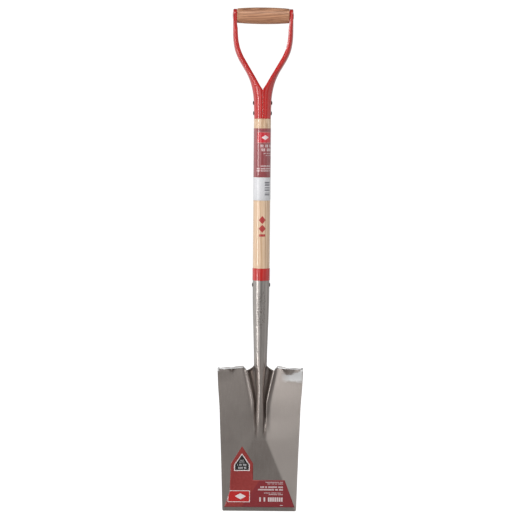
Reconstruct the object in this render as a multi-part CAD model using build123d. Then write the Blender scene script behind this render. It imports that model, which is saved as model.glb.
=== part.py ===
from build123d import *

import os
from math import cos, hypot, pi, radians, sin, tan

# Garden spade with a D-handle. Millimetres, +Z up along the shaft, front of the blade towards -Y.
# The origin is the middle of the cutting edge. "Forward" distances are measured towards -Y.

# Blade, stamped with its socket from one steel sheet.
BLADE_THICKNESS = 2.0
SOCKET_WALL = 1.8
BLADE_TOP = 311.0
BLADE_SPARE = 4.0
CORNER_RADIUS = 3.0
CORNER_SHAPE = [(1.0, 0.0), (0.3, 0.3), (0.0, 1.0)]
BLADE_DISH = 17.0
DISH_CURVE = 0.35
CREASE_SMOOTHING = 4
SIDE_EDGE = [(0, 78.1), (45.6, 79.4), (110.6, 81.2), (175.3, 83.5), (226.4, 85.3), (269.2, 88.2), (307.2, 89.8)]
NOTCH = [(27.0, 300.5), (35.0, 310.4)]
FLARE = [(27.0, 300.5), (20.4, 304.2), (16.4, 309.6), (14.7, 315.8), (14.25, 322.8)]
# Height, ridge half width, ridge front, valley floor, crease half width, crease front.
# Each distance in front of the shaft axis is positive, behind it negative.
BLADE_STATIONS = [
    (0.0, 4.0, 0.0, 0.0, 75.7, 0.0),
    (41.2, 4.0, 0.0, 0.0, 58.9, 0.0),
    (87.5, 4.0, 0.0, 0.0, 39.7, 0.0),
    (128.5, 4.0, 0.0, 0.0, 22.6, 0.0),
    (154.1, 4.5, 0.1, 0.0, 12.5, 0.0),
    (166.4, 6.0, 1.6, 0.0, 12.0, 0.0),
    (177.6, 7.4, 4.3, 0.0, 12.6, 0.1),
    (195.0, 8.6, 7.0, 0.0, 13.4, 0.3),
    (213.3, 8.6, 8.8, -0.6, 13.0, 0.9),
    (235.7, 8.0, 10.4, -2.8, 14.4, 1.6),
    (258.1, 8.2, 11.7, -5.4, 18.8, 2.2),
    (281.4, 9.6, 12.7, -7.8, 24.0, 2.7),
    (303.7, 11.3, 13.3, -9.2, 29.0, 3.0),
    (312.9, 13.0, 13.3, -8.0, 30.0, 3.0),
    (322.9, 13.3, 13.3, -6.0, 30.0, 3.0),
]
WING_STEPS = 10
VALLEY_STEPS = 5
RIDGE_STEPS = 8

# Foot treads, the turned-over top edges of the blade.
TREAD_THICKNESS = 2.0
TREAD_HEIGHT = 311.4
TREAD_INNER = 36.0
TREAD_OUTER = 90.2
TREAD_OVERLAP = 0.2
TREAD_SHOULDER = 71.0
TREAD_DEPTH = 23.0
TREAD_SLOPE = 3.4
TREAD_INNER_CUT = (3.0, 4.0)
GUSSETS = [(-60.0, 8.0, 11.0), (58.0, 12.0, 14.0)]
GUSSET_SINK = 0.6

# Socket, from the open back of the blade up to the collar.
SOCKET_RADII = [(318.9, 14.2), (340.5, 14.3), (366, 15.0), (403, 16.1), (447.3, 17.2), (476.4, 17.5), (502.4, 17.6)]
SOCKET_SLIT = [(11.5, 314.9), (11.0, 320.9), (6.0, 338.6), (1.6, 362.4), (1.2, 484.4)]
SLIT_FRONT = 3.0
SOCKET_RIVET_Z = 481.4
SOCKET_RIVET_SEAT = 17.56

# Wooden shaft with a turned-down end for the yoke and a tapered one for the socket.
SHAFT_PROFILE = [(17.65, 502.4), (17.65, 531.4), (17.75, 656.0), (17.8, 795.0), (17.9, 828.2)]
TENON_RADIUS = 15.8
TENON_TOP = 875.7
TENON_CHAMFER = 2.0
TENON_BOTTOM = 342.0
TIP_CHAMFER = 1.0
WOOD_CLEARANCE = 0.05

# Collar over the joint between shaft and socket.
COLLAR_BOTTOM = 491.2
COLLAR_TOP = 516.8
COLLAR_RADIUS = 18.35
COLLAR_BORE = 17.72
COLLAR_BEVEL = 0.5

# Yoke: two stamped halves, each half a socket, one leg and one ear.
YOKE_WALL = 1.75
YOKE_BOTTOM = 828.2
EAR_TOP = 1054.0
# Height, outer face, inner edge, depth from front to back, squareness of the section.
YOKE_STATIONS = [
    (828.2, 17.62, 0.02, 35.2, 1.00),
    (849.1, 18.25, 0.02, 35.5, 1.00),
    (865.8, 18.75, 0.02, 35.8, 1.00),
    (873.9, 19.35, 0.02, 36.0, 1.00),
    (880.1, 20.20, 0.02, 36.0, 1.00),
    (888.0, 21.60, 0.10, 35.8, 0.98),
    (892.5, 22.70, 2.90, 35.5, 0.97),
    (898.7, 24.35, 6.80, 35.1, 0.96),
    (904.9, 26.40, 10.35, 34.6, 0.95),
    (911.1, 28.80, 13.90, 34.1, 0.93),
    (917.3, 31.70, 17.40, 33.5, 0.91),
    (923.5, 34.90, 21.20, 33.0, 0.90),
    (935.9, 42.30, 28.50, 31.7, 0.86),
    (948.2, 49.60, 35.80, 30.6, 0.83),
    (954.4, 52.70, 39.40, 30.0, 0.81),
    (960.6, 55.30, 42.40, 29.5, 0.80),
    (966.7, 57.60, 45.00, 29.1, 0.78),
    (972.9, 59.25, 47.30, 28.7, 0.76),
    (979.1, 60.50, 49.00, 28.4, 0.75),
    (991.4, 62.10, 51.30, 27.8, 0.73),
    (1003.8, 62.70, 52.40, 27.3, 0.71),
    (1015.0, 62.70, 52.90, 27.0, 0.70),
    (1023.8, 62.70, 54.27, 27.1, 0.68),
    (1030.6, 62.70, 54.27, 27.2, 0.68),
    (1040.4, 62.70, 54.27, 27.4, 0.66),
    (1048.2, 62.35, 54.27, 24.0, 0.66),
    (1052.6, 61.75, 54.27, 17.7, 0.66),
    (1054.0, 61.20, 54.27, 11.8, 0.66),
]
SECTION_STEPS = 14
HOLLOW_REACH = 3.0
YOKE_RIVETS = {"yoke_rivet_upper": (860.5, 18.75), "yoke_rivet_lower": (839.2, 18.12)}

# Wooden grip on a steel rod.
GRIP_CENTRE = 1040.1
GRIP_LENGTH = 108.3
GRIP_MIDDLE_RADIUS = 17.1
GRIP_END_RADIUS = 15.0
GRIP_END_ROUNDING = 1.2
ROD_RADIUS = 4.0
ROD_HEAD_RADIUS = 6.5
ROD_HEAD_HEIGHT = 0.6
ROD_SEAT = 62.72

# Rivets, driven from left to right.
RIVET_RADIUS = 2.5
RIVET_HEAD_RADIUS = 4.25
RIVET_HEAD_HEIGHT = 1.6
RIVET_HOLE_CLEARANCE = 0.05
DOME_STEPS = 6

# Printed labels.
LABEL_THICKNESS = 0.25
LABEL_GAP = 0.02
SHAFT_LABEL = (706.7, 808.2)
BARCODE_LABEL = (658.4, 706.5)
STICKER = [
    (-74.1, 8.3), (-63.5, 41.3), (-60.8, 102.2), (-37.2, 139.0), (-13.6, 102.2),
    (-13.6, 67.0), (53.9, 67.0), (74.9, 8.3),
]
STICKER_TOP_STATION = 175.0

# Cutting bodies reach this far past the object.
CUT_REACH = 80.0


def between(stations, height):
    """The values of a table of stations at one height, by straight lines."""
    if height <= stations[0][0]:
        return stations[0][1:]
    for low, high in zip(stations, stations[1:]):
        if height <= high[0]:
            share = (height - low[0]) / (high[0] - low[0])
            return [a + share * (b - a) for a, b in zip(low[1:], high[1:])]
    return stations[-1][1:]


def wing_front(height, share, crease_front):
    """How far the dished wing stands forward, from its crease (0) to its outer edge (1)."""
    edge = BLADE_DISH * height / BLADE_TOP
    return crease_front + (edge - crease_front) * share * (1 - DISH_CURVE + DISH_CURVE * share)


def half_midline(height):
    """The sheet's middle line at one height, from the ridge's crest to the right outer edge."""
    ridge, crest, floor, crease, crease_front = between(BLADE_STATIONS, height)
    outer = between(SIDE_EDGE, height)[0] + BLADE_SPARE
    points = []
    for step in range(RIDGE_STEPS):
        angle = pi / 2 * (1 - step / RIDGE_STEPS)
        points.append((ridge * cos(angle), floor + (crest - floor) * sin(angle)))
    for step in range(VALLEY_STEPS):
        share = step / VALLEY_STEPS
        points.append((ridge + (crease - ridge) * share, floor + (crease_front - floor) * share))
    for step in range(WING_STEPS + 1):
        share = step / WING_STEPS
        points.append((crease + (outer - crease) * share, wing_front(height, share, crease_front)))
    return points


def smoothed(points, passes):
    """Rounds the corners of a line of points, with its two ends kept."""
    for _ in range(passes):
        inner = [
            tuple((a + 2 * b + c) / 4 for a, b, c in zip(before, here, after))
            for before, here, after in zip(points, points[1:], points[2:])
        ]
        points = [points[0], *inner, points[-1]]
    return points


def midline(height):
    """The whole middle line at one height, from the left outer edge to the right one."""
    right = half_midline(height)
    left = [(-x, front) for x, front in reversed(right[1:])]
    return smoothed(left + right, CREASE_SMOOTHING)


def shifted(points, distance):
    """A line of points moved forward along its own normals by a distance."""
    moved = []
    for index, (x, front) in enumerate(points):
        before = points[max(index - 1, 0)]
        after = points[min(index + 1, len(points) - 1)]
        along = (after[0] - before[0], after[1] - before[1])
        length = hypot(*along)
        moved.append((x - along[1] / length * distance, front + along[0] / length * distance))
    return moved


def even_spline(points):
    """A smooth line with evenly spaced parameters, so that lofted sections match point for point."""
    return Edge.make_spline(points, parameters=[step / (len(points) - 1) for step in range(len(points))])


def sheet_section(points, height, front_face, back_face):
    """The closed outline of a sheet between two distances in front of its middle line."""
    front = [Vector(x, -forward, height) for x, forward in shifted(points, front_face)]
    back = [Vector(x, -forward, height) for x, forward in shifted(points, back_face)]
    edges = [
        even_spline(front),
        Edge.make_line(front[-1], back[-1]),
        even_spline(back[::-1]),
        Edge.make_line(back[0], front[0]),
    ]
    return Wire(edges)


def sheet_loft(heights, front_face, back_face):
    """A sheet that follows the blade's middle line over a range of heights."""
    sections = [sheet_section(midline(h), h, front_face, back_face) for h in heights]
    return Solid.make_loft(sections, ruled=True)


def prism(points, front, back):
    """An outline in X and Z, filled from one Y to another."""
    face = Face(Wire.make_polygon([(x, front, z) for x, z in points]))
    return Solid.extrude(face, Vector(0, back - front, 0))


def both_sides(right):
    """A closed outline from its right half, listed from the bottom to the top."""
    return right + [(-x, z) for x, z in reversed(right)]


def tread(side):
    """One foot tread, a flat plate that leans a little down towards its outer end."""
    crease, crease_front = between(BLADE_STATIONS, BLADE_TOP)[3:]
    outer = between(SIDE_EDGE, BLADE_TOP)[0] + BLADE_SPARE

    def wing_at(x):
        return wing_front(BLADE_TOP, (x - crease) / (outer - crease), crease_front)

    span = TREAD_OUTER - TREAD_INNER
    back = [TREAD_INNER + span * step / WING_STEPS for step in range(WING_STEPS + 1)]
    plan = [(x, wing_at(x) - BLADE_THICKNESS / 2 - TREAD_OVERLAP) for x in back]
    plan.append((TREAD_OUTER, wing_at(TREAD_OUTER) + BLADE_THICKNESS))
    plan.append((TREAD_SHOULDER, wing_at(TREAD_SHOULDER) + TREAD_DEPTH))
    cut_across, cut_deep = TREAD_INNER_CUT
    plan.append((TREAD_INNER + cut_across, wing_at(TREAD_INNER) + TREAD_DEPTH))
    plan.append((TREAD_INNER, wing_at(TREAD_INNER) + TREAD_DEPTH - cut_deep))
    face = Face(Wire.make_polygon([(side * x, -forward, 0) for x, forward in plan]))
    plate = Solid.extrude(face, Vector(0, 0, -TREAD_THICKNESS))
    plate = plate.moved(Location((-side * TREAD_INNER, 0, 0)))
    tilted = plate.moved(Location((0, 0, 0), (0, side * TREAD_SLOPE, 0)))
    return tilted.moved(Location((side * TREAD_INNER, 0, TREAD_HEIGHT)))


def gusset(x, half_width, depth):
    """The pressed dart that stiffens the bend under a tread: a three-sided wedge in the corner."""
    crease, crease_front = between(BLADE_STATIONS, BLADE_TOP)[3:]
    outer = between(SIDE_EDGE, BLADE_TOP)[0] + BLADE_SPARE
    wing = wing_front(BLADE_TOP, (abs(x) - crease) / (outer - crease), crease_front)
    slope = tan(radians(TREAD_SLOPE))
    top = TREAD_HEIGHT - (abs(x) - TREAD_INNER) * slope - TREAD_THICKNESS - GUSSET_SINK
    left = (x - half_width, -wing, top)
    right = (x + half_width, -wing, top)
    low = (x, -wing, top - depth)
    lip = (x, -wing - depth, top)
    triangles = [(left, low, right), (left, right, lip), (left, lip, low), (right, low, lip)]
    faces = [Face(Wire.make_polygon(corners)) for corners in triangles]
    wedge = Solid(Shell(faces))
    return wedge


def cross_hole(radius, height):
    """A round cutter from left to right at one height, a little wider than the pin that fills it."""
    start = Plane((-CUT_REACH, 0, height), z_dir=(1, 0, 0))
    return Solid.make_cylinder(radius + RIVET_HOLE_CLEARANCE, 2 * CUT_REACH, start)


def revolved(points):
    """A solid turned about the Z axis from an outline of radius and height."""
    face = Face(Wire.make_polygon([(radius, 0, height) for radius, height in points]))
    return Solid.revolve(face, 360, Axis.Z)


def socket_tube():
    """The tapered tube that the sheet closes into above the blade."""
    outer = [(radius, height) for height, radius in SOCKET_RADII]
    inner = [(radius - SOCKET_WALL, height) for radius, height in reversed(outer)]
    return revolved(outer + inner)


def blade():
    """Blade, treads and socket in one piece of steel."""
    heights = [station[0] for station in BLADE_STATIONS]
    sheet = sheet_loft(heights, BLADE_THICKNESS / 2, -BLADE_THICKNESS / 2)
    edges = [(x, z) for z, x in SIDE_EDGE]
    outer = SIDE_EDGE[0][1]
    bottom = [(outer - inset * CORNER_RADIUS, rise * CORNER_RADIUS) for inset, rise in CORNER_SHAPE]
    outline = both_sides(bottom + edges[1:] + NOTCH[::-1] + FLARE[1:])
    trimmed = sheet & prism(outline, -CUT_REACH, CUT_REACH)
    whole = trimmed + socket_tube()
    whole = whole + tread(1) + tread(-1)
    for place in GUSSETS:
        whole = whole + gusset(*place)
    whole = whole - prism(both_sides(SOCKET_SLIT), SLIT_FRONT, CUT_REACH)
    return whole - cross_hole(RIVET_RADIUS, SOCKET_RIVET_Z)


def shaft():
    """Wooden shaft, with the holes for its three rivets."""
    tenon_low = [
        (radius - SOCKET_WALL - WOOD_CLEARANCE, height)
        for height, radius in SOCKET_RADII
        if height > TENON_BOTTOM
    ]
    bottom = between(SOCKET_RADII, TENON_BOTTOM)[0] - SOCKET_WALL - WOOD_CLEARANCE
    outline = [(0, TENON_BOTTOM), (bottom - TIP_CHAMFER, TENON_BOTTOM), (bottom, TENON_BOTTOM + TIP_CHAMFER)]
    outline += tenon_low + SHAFT_PROFILE
    outline += [(TENON_RADIUS, YOKE_BOTTOM), (TENON_RADIUS, TENON_TOP - TENON_CHAMFER)]
    outline += [(TENON_RADIUS - TENON_CHAMFER, TENON_TOP), (0, TENON_TOP)]
    wood = revolved(outline)
    for height in [SOCKET_RIVET_Z, *[height for height, _ in YOKE_RIVETS.values()]]:
        wood = wood - cross_hole(RIVET_RADIUS, height)
    return wood


def collar():
    """Ring over the joint, with a bevel at its top and bottom edges."""
    bevel = COLLAR_BEVEL
    outline = [
        (COLLAR_BORE, COLLAR_BOTTOM), (COLLAR_RADIUS - bevel, COLLAR_BOTTOM),
        (COLLAR_RADIUS, COLLAR_BOTTOM + bevel), (COLLAR_RADIUS, COLLAR_TOP - 2 * bevel),
        (COLLAR_RADIUS - bevel, COLLAR_TOP), (COLLAR_BORE, COLLAR_TOP),
    ]
    return revolved(outline)


def headed_pin(radius, head_radius, head_height, reach, height):
    """A pin along X with a domed head at each end, its heads seated at plus and minus reach."""
    dome = []
    for step in range(DOME_STEPS + 1):
        angle = pi / 2 * step / DOME_STEPS
        dome.append((head_radius * cos(angle), reach + head_height * sin(angle)))
    right = [(radius, 0), (radius, reach), *dome]
    outline = [(r, -along) for r, along in reversed(right[1:])] + right[1:]
    face = Face(Wire.make_polygon([(along, 0, height + r) for r, along in outline]))
    axis = Axis((0, 0, height), (1, 0, 0))
    return Solid.revolve(face, 360, axis)


def yoke_section(height, outer, inner, depth, squareness, wall, reach):
    """The D-shaped section of one yoke half, made smaller by a wall all round but the inner side."""
    half = depth / 2 - wall
    width = outer - inner - wall
    points = []
    for step in range(SECTION_STEPS + 1):
        angle = pi * step / SECTION_STEPS
        x = inner + width * max(sin(angle), 0) ** squareness
        side = 1 if cos(angle) > 0 else -1
        y = -side * half * abs(cos(angle)) ** squareness
        points.append(Vector(x, y, height))
    if reach:
        start = Vector(inner - reach, -half, height)
        end = Vector(inner - reach, half, height)
        edges = [
            even_spline(points), Edge.make_line(points[-1], end),
            Edge.make_line(end, start), Edge.make_line(start, points[0]),
        ]
    else:
        edges = [even_spline(points), Edge.make_line(points[-1], points[0])]
    return Wire(edges)


def yoke_half(side):
    """One stamped half of the yoke, hollow towards the middle."""
    outer = Solid.make_loft([yoke_section(*station, 0, 0) for station in YOKE_STATIONS], ruled=True)
    hollow_stations = [station for station in YOKE_STATIONS if station[0] < EAR_TOP - 3 * YOKE_WALL]
    first = (hollow_stations[0][0] - 1, *hollow_stations[0][1:])
    hollow_sections = [yoke_section(*s, YOKE_WALL, HOLLOW_REACH) for s in [first, *hollow_stations]]
    hollow = Solid.make_loft(hollow_sections, ruled=True)
    half = outer - hollow
    for height, _ in YOKE_RIVETS.values():
        half = half - cross_hole(RIVET_RADIUS, height)
    half = half - cross_hole(ROD_RADIUS, GRIP_CENTRE)
    return half if side > 0 else half.mirror(Plane.YZ)


def grip():
    """Barrel-shaped wooden grip with a bore for its rod."""
    steps = 12
    outline = []
    for step in range(steps + 1):
        x = (step / steps - 0.5) * (GRIP_LENGTH - 2 * GRIP_END_ROUNDING)
        bulge = 1 - (2 * x / GRIP_LENGTH) ** 2
        outline.append((x, GRIP_END_RADIUS + (GRIP_MIDDLE_RADIUS - GRIP_END_RADIUS) * bulge))
    half = GRIP_LENGTH / 2
    rim = GRIP_END_RADIUS - GRIP_END_ROUNDING
    barrel = Edge.make_spline([Vector(x, 0, GRIP_CENTRE + r) for x, r in outline])
    corners = [
        (outline[-1][0], outline[-1][1]), (half, rim), (half, ROD_RADIUS + RIVET_HOLE_CLEARANCE),
        (-half, ROD_RADIUS + RIVET_HOLE_CLEARANCE), (-half, rim), (outline[0][0], outline[0][1]),
    ]
    points = [Vector(x, 0, GRIP_CENTRE + r) for x, r in corners]
    lines = [Edge.make_line(a, b) for a, b in zip(points, points[1:])]
    face = Face(Wire([barrel, *lines]))
    return Solid.revolve(face, 360, Axis((0, 0, GRIP_CENTRE), (1, 0, 0)))


def wrap_label(bottom, top):
    """A label wrapped round the shaft."""
    reach = max(radius for radius, _ in SHAFT_PROFILE) + LABEL_GAP
    outline = [(reach, bottom), (reach + LABEL_THICKNESS, bottom)]
    outline += [(reach + LABEL_THICKNESS, top), (reach, top)]
    return revolved(outline)


def sticker():
    """The die-cut sticker that lies on the front of the blade."""
    heights = [station[0] for station in BLADE_STATIONS if station[0] < STICKER_TOP_STATION]
    face = BLADE_THICKNESS / 2 + LABEL_GAP
    layer = sheet_loft(heights, face + LABEL_THICKNESS, face)
    return layer & prism(STICKER, -CUT_REACH, CUT_REACH)


def rivet(height, seat):
    """A rivet with both heads formed, seated at a distance from the middle."""
    return headed_pin(RIVET_RADIUS, RIVET_HEAD_RADIUS, RIVET_HEAD_HEIGHT, seat, height)


def main():
    """Builds every piece and writes it to its own file."""
    nodes = {
        "blade": blade(),
        "shaft": shaft(),
        "socket_collar": collar(),
        "socket_rivet": rivet(SOCKET_RIVET_Z, SOCKET_RIVET_SEAT),
        "yoke_left": yoke_half(-1),
        "yoke_right": yoke_half(1),
        **{name: rivet(*place) for name, place in YOKE_RIVETS.items()},
        "grip": grip(),
        "grip_rod": headed_pin(ROD_RADIUS, ROD_HEAD_RADIUS, ROD_HEAD_HEIGHT, ROD_SEAT, GRIP_CENTRE),
        "shaft_label": wrap_label(*SHAFT_LABEL),
        "barcode_label": wrap_label(*BARCODE_LABEL),
        "blade_sticker": sticker(),
    }
    os.makedirs("parts", exist_ok=True)
    for name, shape in nodes.items():
        solids = shape.solids()
        shape = solids[0] if len(solids) == 1 else Compound(solids)
        shape.label = name
        export_step(shape, f"parts/{name}.step")
        print(name, len(solids), round(shape.volume))


main()
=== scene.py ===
from math import cos, exp, pi, radians, sin, sqrt, tan

import bmesh
import bpy
import numpy as np
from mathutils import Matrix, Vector


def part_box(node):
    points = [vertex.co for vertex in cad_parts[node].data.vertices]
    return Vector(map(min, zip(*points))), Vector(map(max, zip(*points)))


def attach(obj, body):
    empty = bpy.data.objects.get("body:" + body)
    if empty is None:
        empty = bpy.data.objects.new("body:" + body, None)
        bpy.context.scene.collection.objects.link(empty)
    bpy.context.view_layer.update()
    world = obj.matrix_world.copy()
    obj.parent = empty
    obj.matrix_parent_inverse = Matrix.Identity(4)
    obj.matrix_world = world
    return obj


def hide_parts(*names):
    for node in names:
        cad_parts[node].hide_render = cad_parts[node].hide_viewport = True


# Garden spade with a D-handle. Shapes are worked out in millimetres, in the frame's own axes:
# +Z up along the shaft, the front of the blade towards -Y. "Front" distances point towards -Y.
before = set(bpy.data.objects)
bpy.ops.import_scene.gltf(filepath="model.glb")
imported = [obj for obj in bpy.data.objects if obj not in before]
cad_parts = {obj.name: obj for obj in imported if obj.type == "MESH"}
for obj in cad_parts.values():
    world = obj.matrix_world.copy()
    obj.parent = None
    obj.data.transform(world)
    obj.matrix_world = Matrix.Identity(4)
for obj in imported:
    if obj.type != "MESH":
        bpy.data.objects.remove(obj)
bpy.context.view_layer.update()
MM = 0.001
BODY = "root"


def node_box(name):
    """Lowest and highest corner of a CAD node, in millimetres."""
    low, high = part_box(name)
    return low / MM, high / MM


# ---------------------------------------------------------------- mesh tools

def make_object(name, points, faces):
    """A mesh object from points in millimetres, with doubled points joined, riding on the frame."""
    mesh = bpy.data.meshes.new(name)
    mesh.from_pydata([(x * MM, y * MM, z * MM) for x, y, z in points], [], faces)
    work = bmesh.new()
    work.from_mesh(mesh)
    bmesh.ops.remove_doubles(work, verts=work.verts, dist=1e-6)
    bmesh.ops.dissolve_degenerate(work, edges=work.edges, dist=1e-6)
    bmesh.ops.recalc_face_normals(work, faces=work.faces)
    work.to_mesh(mesh)
    work.free()
    obj = bpy.data.objects.new(name, mesh)
    bpy.context.scene.collection.objects.link(obj)
    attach(obj, BODY)
    return obj


def strip_faces(rows, start=0, around=False):
    """Quads between rows of equally many points, numbered from start."""
    count = len(rows[0])
    faces = []
    for j in range(len(rows) - 1):
        for i in range(count if around else count - 1):
            a = start + j * count + i
            b = start + j * count + (i + 1) % count
            faces.append((a, b, b + count, a + count))
    return faces


def lathe(name, profile, axis="Z", centre=0.0, segments=128, closed=False):
    """Turns a profile of (radius, distance along) about the Z axis, or an X axis at a height."""
    rows = []
    for radius, along in profile + ([profile[0]] if closed else []):
        row = []
        for step in range(segments):
            angle = 2 * pi * step / segments
            side, up = radius * cos(angle), radius * sin(angle)
            row.append((side, up, along) if axis == "Z" else (along, side, centre + up))
        rows.append(row)
    points = [point for row in rows for point in row]
    return make_object(name, points, strip_faces(rows, around=True))


def smooth_shade(obj, sharp_angle=32):
    """Smooth shading, with edges sharper than an angle left crisp."""
    obj.data.shade_smooth()
    obj.data.set_sharp_from_angle(angle=radians(sharp_angle))


def thicken(obj, thickness, offset, even=True):
    """Gives a sheet its thickness: offset -1 grows it inwards, 0 both ways."""
    solid = obj.modifiers.new("sheet", "SOLIDIFY")
    solid.thickness = thickness * MM
    solid.offset = offset
    solid.use_even_offset = even
    solid.use_quality_normals = even


def round_edges(obj, width, segments=3, angle=38):
    """A small rounding on every edge sharper than an angle."""
    bevel = obj.modifiers.new("edges", "BEVEL")
    bevel.width = width * MM
    bevel.segments = segments
    bevel.limit_method = "ANGLE"
    bevel.angle_limit = radians(angle)
    bevel.harden_normals = True


def arc(start, end, steps):
    """Angles from start to end in degrees, given in radians."""
    return [radians(start + (end - start) * step / steps) for step in range(steps + 1)]


def ease(share):
    """Smooth step from 0 to 1."""
    share = min(max(share, 0.0), 1.0)
    return share * share * (3 - 2 * share)


def between(stations, height):
    """Values of a table of stations at one height, along a smooth curve."""
    heights = [station[0] for station in stations]
    values = np.array([station[1:] for station in stations], float)
    if height <= heights[0]:
        return values[0]
    if height >= heights[-1]:
        return values[-1]
    index = max(i for i, h in enumerate(heights) if h <= height)
    slopes = []
    for i in (index, index + 1):
        before, after = max(i - 1, 0), min(i + 1, len(heights) - 1)
        slopes.append((values[after] - values[before]) / (heights[after] - heights[before]))
    span = heights[index + 1] - heights[index]
    t = (height - heights[index]) / span
    return (
        (2 * t**3 - 3 * t**2 + 1) * values[index] + (t**3 - 2 * t**2 + t) * span * slopes[0]
        + (3 * t**2 - 2 * t**3) * values[index + 1] + (t**3 - t**2) * span * slopes[1]
    )


# ---------------------------------------------------------------- materials

def srgb(red, green, blue):
    """A colour given as it looks, from 0 to 1, turned into the linear values that shaders use."""
    linear = [c / 12.92 if c <= 0.04045 else ((c + 0.055) / 1.055) ** 2.4 for c in (red, green, blue)]
    return (*linear, 1.0)


class Finish:
    """One node material, written with short calls. A value is a number, a colour or a socket."""

    def __init__(self, name):
        self.material = bpy.data.materials.new(name)
        self.material.use_nodes = True
        self.tree = self.material.node_tree
        self.shader = self.tree.nodes["Principled BSDF"]
        place = self.tree.nodes.new("ShaderNodeTexCoord")
        scaled = self.tree.nodes.new("ShaderNodeVectorMath")
        scaled.operation = "SCALE"
        self.put(place.outputs["Object"], scaled.inputs[0])
        scaled.inputs["Scale"].default_value = 1 / MM
        self.place = scaled.outputs[0]
        self.x, self.y, self.z = self.split(self.place)
        self.normal_y = self.split(place.outputs["Normal"])[1]

    def put(self, value, socket):
        if isinstance(value, bpy.types.NodeSocket):
            self.tree.links.new(value, socket)
        else:
            socket.default_value = value

    def split(self, vector):
        node = self.tree.nodes.new("ShaderNodeSeparateXYZ")
        self.put(vector, node.inputs[0])
        return node.outputs

    def math(self, operation, first, second=0.0, third=0.0):
        node = self.tree.nodes.new("ShaderNodeMath")
        node.operation = operation
        for value, socket in zip((first, second, third), node.inputs):
            self.put(value, socket)
        return node.outputs[0]

    def minus(self, first, second):
        return self.math("SUBTRACT", first, second)

    def largest(self, first, second):
        return self.math("MAXIMUM", first, second)

    def both(self, first, second):
        return self.math("MULTIPLY", first, second)

    def line(self, value, slope, start):
        return self.math("MULTIPLY_ADD", value, slope, start)

    def past(self, value, start):
        """How far a value lies past a start, and 0 before it."""
        return self.largest(self.minus(value, start), 0.0)

    def mix(self, share, first, second):
        node = self.tree.nodes.new("ShaderNodeMix")
        node.data_type = "RGBA"
        self.put(share, node.inputs["Factor"])
        self.put(first, node.inputs[6])
        self.put(second, node.inputs[7])
        return node.outputs[2]

    def stretched(self, x, y, z):
        """The place in millimetres, multiplied along each axis."""
        node = self.tree.nodes.new("ShaderNodeVectorMath")
        node.operation = "MULTIPLY"
        self.put(self.place, node.inputs[0])
        node.inputs[1].default_value = (x, y, z)
        return node.outputs[0]

    def noise(self, x, y, z, detail=2.0, roughness=0.5):
        """Noise whose waves along each axis are about one over the number given for it, in millimetres."""
        node = self.tree.nodes.new("ShaderNodeTexNoise")
        self.put(self.stretched(x, y, z), node.inputs["Vector"])
        node.inputs["Scale"].default_value = 1.0
        node.inputs["Detail"].default_value = detail
        node.inputs["Roughness"].default_value = roughness
        return node.outputs["Fac"]

    def chance(self, step):
        """A random number for each whole step."""
        node = self.tree.nodes.new("ShaderNodeTexWhiteNoise")
        node.noise_dimensions = "1D"
        self.put(step, node.inputs["W"])
        return node.outputs["Value"]

    def ramp(self, value, low, high, start=0.0, end=1.0):
        """A value spread from low..high to start..end, and held at both."""
        node = self.tree.nodes.new("ShaderNodeMapRange")
        for number, socket in zip((value, low, high, start, end), node.inputs):
            self.put(number, socket)
        return node.outputs[0]

    def spread(self, noise, start=0.0, end=1.0):
        """The usual range of a noise, spread to start..end."""
        return self.ramp(noise, 0.3, 0.7, start, end)

    def band(self, value, start, full, fade, end):
        """1 between full and fade, down to 0 at start and at end."""
        return self.both(self.ramp(value, start, full), self.ramp(value, end, fade))

    def bump(self, height, depth, strength=1.0):
        node = self.tree.nodes.new("ShaderNodeBump")
        node.inputs["Strength"].default_value = strength
        node.inputs["Distance"].default_value = depth * MM
        self.put(height, node.inputs["Height"])
        self.put(node.outputs[0], self.shader.inputs["Normal"])

    def near(self, value, centre, half):
        """1 where a value is within half of its centre."""
        return self.math("COMPARE", value, centre, half)

    def rectangle(self, across, up, centre_across, centre_up, width, height):
        return self.both(self.near(across, centre_across, width / 2), self.near(up, centre_up, height / 2))

    def diamond(self, across, up, centre_across, centre_up, width, height):
        side = self.math("ABSOLUTE", self.minus(across, centre_across))
        rise = self.math("ABSOLUTE", self.minus(up, centre_up))
        shares = self.math("DIVIDE", side, width / 2), self.math("DIVIDE", rise, height / 2)
        return self.math("LESS_THAN", self.math("ADD", *shares), 1.0)

    def dashes(self, across, up, row, seed):
        """A printed row of short bars of uneven length, from (height, left, right, thickness, bar size)."""
        level, left, right, thickness, size = row
        steps = self.math("DIVIDE", across, size)
        whole = self.math("ADD", self.math("FLOOR", steps), seed * 17.3)
        bar = self.math("GREATER_THAN", self.chance(whole), 0.15)
        gap = self.math("LESS_THAN", self.math("FRACT", steps), 0.74)
        span = self.rectangle(across, up, (left + right) / 2, level, right - left, thickness)
        return self.both(span, self.both(bar, gap))

    def around(self, radius):
        """The distance round the shaft from the middle of its front, positive to the right."""
        return self.both(self.math("ARCTAN2", self.x, self.both(self.y, -1.0)), radius)

    def set(self, **values):
        """Shader sockets by name, with _ for a space."""
        for name, value in values.items():
            self.put(value, self.shader.inputs[name.replace("_", " ")])
        return self.material


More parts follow.
